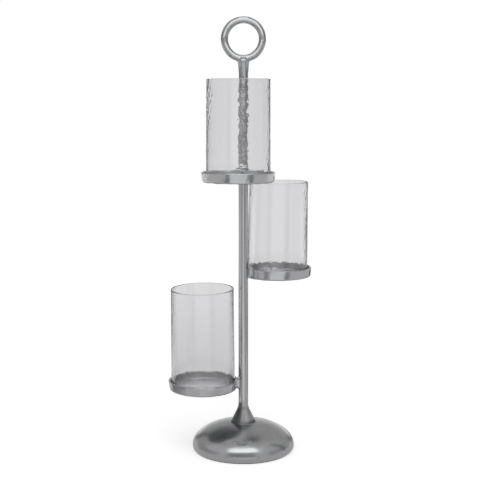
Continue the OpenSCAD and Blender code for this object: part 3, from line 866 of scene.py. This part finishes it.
def dishProfile():
    foot = tray["radius"] - tray["lean"]
    lipR, edge, corner = tray["wall"] / 2, tray["edge"], tray["corner"]
    floorR = tray["radius"] - tray["wall"] - tray["innerLean"]
    profile = [(0, -tray["height"])]
    profile += evenly(profile[-1], (foot - edge, -tray["height"]), 8)
    profile += arc((foot - edge, edge - tray["height"]), edge, edge, -82, 0, 12)
    profile += evenly(profile[-1], (tray["radius"], -tray["lip"]), 2.5)
    profile += arc((tray["radius"] - lipR, -tray["lip"]), lipR, tray["lip"], 15, 180, 12)
    profile += evenly(profile[-1], (floorR, corner - trayDepth), 2.5)
    profile += arc((floorR - corner, corner - trayDepth), corner, corner, -20, -90, 4)
    profile += evenly(profile[-1], (0, -trayDepth), 8)
    return profile


# The lug's skin, lofted outwards from the saddle as rings of a rounded oblong
def lugRings(seed):
    saddle = lug["saddleRadius"]
    poleEnd = saddle * math.cos(math.radians(lug["saddleAngle"]))
    wallFace = tray["orbit"] - tray["radius"]
    trayEnd = wallFace + lug["intoWall"] * tray["wall"]
    endStart = trayEnd - lug["endRound"]
    turn = np.arange(lug["around"]) * 2 * math.pi / lug["around"]
    power = 2 / lug["squareness"]
    across = np.sign(np.cos(turn)) * np.abs(np.cos(turn)) ** power
    upright = np.sign(np.sin(turn)) * np.abs(np.sin(turn)) ** power
    rings = []
    for s in np.linspace(0, 1, lug["stations"]):
        reach = poleEnd + (trayEnd - poleEnd) * s
        fall = min(1, max(0, (endStart - reach) / (endStart - saddle)))
        past = max(0, (reach - endStart) / lug["endRound"])
        toWall = wallFace + lug["filletPast"] - reach
        nearWall = min(1, max(0, 1 - toWall / lug["filletLength"]))
        fillet = lug["fillet"] * (1 - math.sqrt(1 - nearWall ** 2))
        halfWidth = lug["waist"] / 2 + lug["flare"] * s * s \
            + lug["saddleFlare"] * (1 - min(1, s / lug["saddleFlareShare"])) ** 2 + fillet
        high = lug["endRise"] + (lug["rise"] - lug["endRise"]) * fall * fall \
            - lug["endRound"] * (1 - math.sqrt(max(0, 1 - past * past)))
        low = lug["lift"] - tray["height"] - lug["drop"] * fall * fall \
            - fillet * lug["filletBelow"]
        ring = np.stack([np.full(lug["around"], reach), across * halfWidth,
                         (high + low) / 2 + upright * (high - low) / 2], 1)
        onPole = np.sqrt(np.maximum(saddle ** 2 - ring[:, 1] ** 2, 0))
        ring[:, 0] = np.maximum(ring[:, 0], onPole + lug["ringGap"] * s)
        rings.append(ring)
    rings = np.array(rings)
    waves = handWaves(rings[1:-1], lug["waveSpacing"], lug["waveDepth"], seed)
    rings[1:-1] += waves[..., None] * np.array(lug["waveShare"])
    return rings


def lugFaces():
    around, stations = lug["around"], lug["stations"]
    faces = ringFaces(stations, around, False)
    for j in range(around // 2):        # ladders close both ends, top to bottom
        rung = j, j + 1, (around - j - 1) % around, (around - j) % around
        for first in (0, (stations - 1) * around):
            faces.append(tuple(dict.fromkeys(first + k for k in rung)))
    return faces


# The cutter for the screw's head and its hole, pointing from the dish's inner wall to the pole:
# its points and its faces
def screwCone():
    inner = tray["radius"] - tray["wall"] - tray["innerLean"] * countersink["down"] / trayDepth
    face = tray["orbit"] - inner - countersink["sink"]
    head, shank, segments = (countersink[key] for key in ("headRadius", "shankRadius", "segments"))
    start, end = -countersink["before"], countersink["past"]
    profile = [(0, start), (head, start), (head, 0), (shank, countersink["depth"]),
               (shank, end), (0, end)]
    cone = turnProfile(profile, segments).reshape(-1, 3)
    points = np.stack([face - cone[:, 2], cone[:, 0], cone[:, 1] - countersink["down"]], 1)
    return points, ringFaces(len(profile), segments, False)


def makeTray(name, rim, bearing, seed, dents):
    turned = math.radians(bearing)
    place = np.array([[math.cos(turned), -math.sin(turned), 0],
                      [math.sin(turned), math.cos(turned), 0], [0, 0, 1]])

    def placed(points):
        return points.reshape(-1, 3) @ place.T + np.array([0, 0, rim])

    def relief(points):
        return handWaves(points, tray["waveSpacing"], tray["waveDepth"], seed) \
            + handWaves(points, tray["dentSpacing"], dents, seed + 50)

    profile, segments = dishProfile(), tray["segments"]
    dish = turnProfile(profile, segments, relief) + np.array([tray["orbit"], 0, 0])
    piece = buildPiece(name + "_tray_casting", placed(dish),
                       ringFaces(len(profile), segments, False), trayMetal,
                       "stand", name + "_tray", sharp=tray["sharp"])
    piece.data.materials.append(hollowMetal)        # everything inside the lip
    middle = placed(np.array([tray["orbit"], 0, 0]))[0]
    for face in piece.data.polygons:
        spot = np.array(face.center) / mm - middle
        if math.hypot(spot[0], spot[1]) < tray["radius"] - tray["hollowFrom"] * tray["wall"] \
                and spot[2] > tray["floor"] / 2 - tray["height"]:
            face.material_index = 1

    cone, coneFaces = screwCone()
    drill = linkObject("countersink", cleanMesh("countersink", placed(cone), coneFaces, 0.001))
    cut = piece.modifiers.new("countersink", "BOOLEAN")
    cut.operation, cut.solver, cut.object = "DIFFERENCE", "EXACT", drill
    casting = bpy.data.meshes.new_from_object(
        piece.evaluated_get(bpy.context.evaluated_depsgraph_get()))
    piece.modifiers.clear()
    bpy.data.objects.remove(drill)
    both = bmesh.new()
    both.from_mesh(casting)
    both.from_mesh(cleanMesh("lug", placed(lugRings(seed + 7)), lugFaces(), 0.0001))
    both.to_mesh(casting)
    both.free()
    smoothFaces(casting, tray["sharp"])
    piece.data = casting


for name, settings in trays.items():
    makeTray(name, **settings)
print("trays made")


# Open cylinders, drawn by hand, each standing on its tray's floor. Sizes in mm
glassShape = {
    "wall": 3.2, "bevel": 0.8, "footFade": 30,        # how fast the uneven foot fades upwards
    "slowSpacing": 62, "mediumSpacing": 22, "fineSpacing": 8, "knotSpacing": 9,
    "pull": 0.55,        # the slower waves are longer upwards
    "slowFade": 40,        # the slow waves grow in over this height
    "knotTightness": 6,        # a higher number makes a knot narrower round the glass
    "levels": 110, "segments": 240,
}
# Depths of the waves; knots, where the wall is thick and uneven (bearing, height, reach, depth);
# how far the rim rises to the right and to the back, and how far it leans that way
glasses = {
    "bottom": {
        "foot": 78.2, "height": 243, "taper": 1.2, "seed": 61,
        "slow": 0.03, "medium": 0.012, "fine": 0.012, "footWaves": 0.15,
        "knots": [(0, 120, 90, 0.02), (180, 190, 40, 0.02)],
        "cut": (1.0, 2.2), "lean": (-1.2, 0.0),
    },
    "middle": {
        "foot": 74.8, "height": 226, "taper": 2.6, "seed": 62,
        "slow": 0.06, "medium": 0.02, "fine": 0.012, "footWaves": 0.15,
        "knots": [(180, 216, 14, 0.14), (0, 190, 40, 0.11)],
        "cut": (0.4, 0.3), "lean": (3.4, 0.0),
    },
    "top": {
        "foot": 74.1, "height": 226, "taper": 1.2, "seed": 63,
        "slow": 0.06, "medium": 0.015, "fine": 0.012, "footWaves": 0.05,
        "knots": [(180, 172, 50, 0.32), (0, 28, 24, 0.20), (0, 200, 30, 0.09),
                  (276, 150, 70, 0.05)],
        "cut": (0.2, 0.2), "lean": (0.6, 0.0),
    },
}


def makeGlass(name, glass):
    shape = glassShape
    foot, height = glass["foot"], glass["height"]
    half, bevel = shape["wall"] / 2, shape["bevel"]
    top = height - half
    levels = np.linspace(bevel, top, shape["levels"])

    def middle(z):
        return foot - half - glass["taper"] * z / height

    profile = [(foot - bevel, 0)]
    profile += [(middle(z) + half, z) for z in levels]
    profile += arc((middle(top), top), half, half, 18, 162, 8)
    profile += [(middle(z) - half, z) for z in reversed(levels)]
    profile += [(foot - shape["wall"] + bevel, 0)]

    def relief(points):
        outside = np.hypot(points[..., 0], points[..., 1]) > middle(points[..., 2])
        fade = np.clip(points[..., 2] / shape["slowFade"], 0, 1)
        pulled = points * np.array([1, 1, shape["pull"]])
        bearing = np.arctan2(points[..., 1], points[..., 0])
        knots = glass["footWaves"] * np.exp(-points[..., 2] / shape["footFade"])
        for turn, level, reach, depth in glass["knots"]:
            aside = np.cos(bearing - math.radians(turn)) - 1
            knots = knots + depth * np.exp(shape["knotTightness"] * aside
                                           - ((points[..., 2] - level) / reach) ** 2)
        total = 0
        for side, seed in ((outside, glass["seed"]), (~outside, glass["seed"] + 100)):
            total = total + side * (
                fade * handWaves(pulled, shape["slowSpacing"], glass["slow"], seed)
                + handWaves(pulled, shape["mediumSpacing"], glass["medium"], seed + 10)
                + handWaves(points, shape["fineSpacing"], glass["fine"], seed + 20)
                + knots * handWaves(points, shape["knotSpacing"], 1, seed + 30))
        return total

    segments = shape["segments"]
    points = turnProfile(profile, segments, relief).reshape(-1, 3)
    up = np.clip(points[:, 2] / height, 0, 1)
    right, back = glass["cut"]
    points[:, 2] += up ** 3 * (right * points[:, 0] + back * points[:, 1]) / foot
    points[:, 0] += glass["lean"][0] * up
    points[:, 1] += glass["lean"][1] * up
    turned = math.radians(trays[name]["bearing"])
    points += [tray["orbit"] * math.cos(turned), tray["orbit"] * math.sin(turned),
               trays[name]["rim"] - trayDepth]
    buildPiece(name + "_hurricane_glass", points, ringFaces(len(profile), segments, True),
               clearGlass, name + "_hurricane", name + "_glass", sharp=70)


for name, glass in glasses.items():
    makeGlass(name, glass)
print("glasses made")
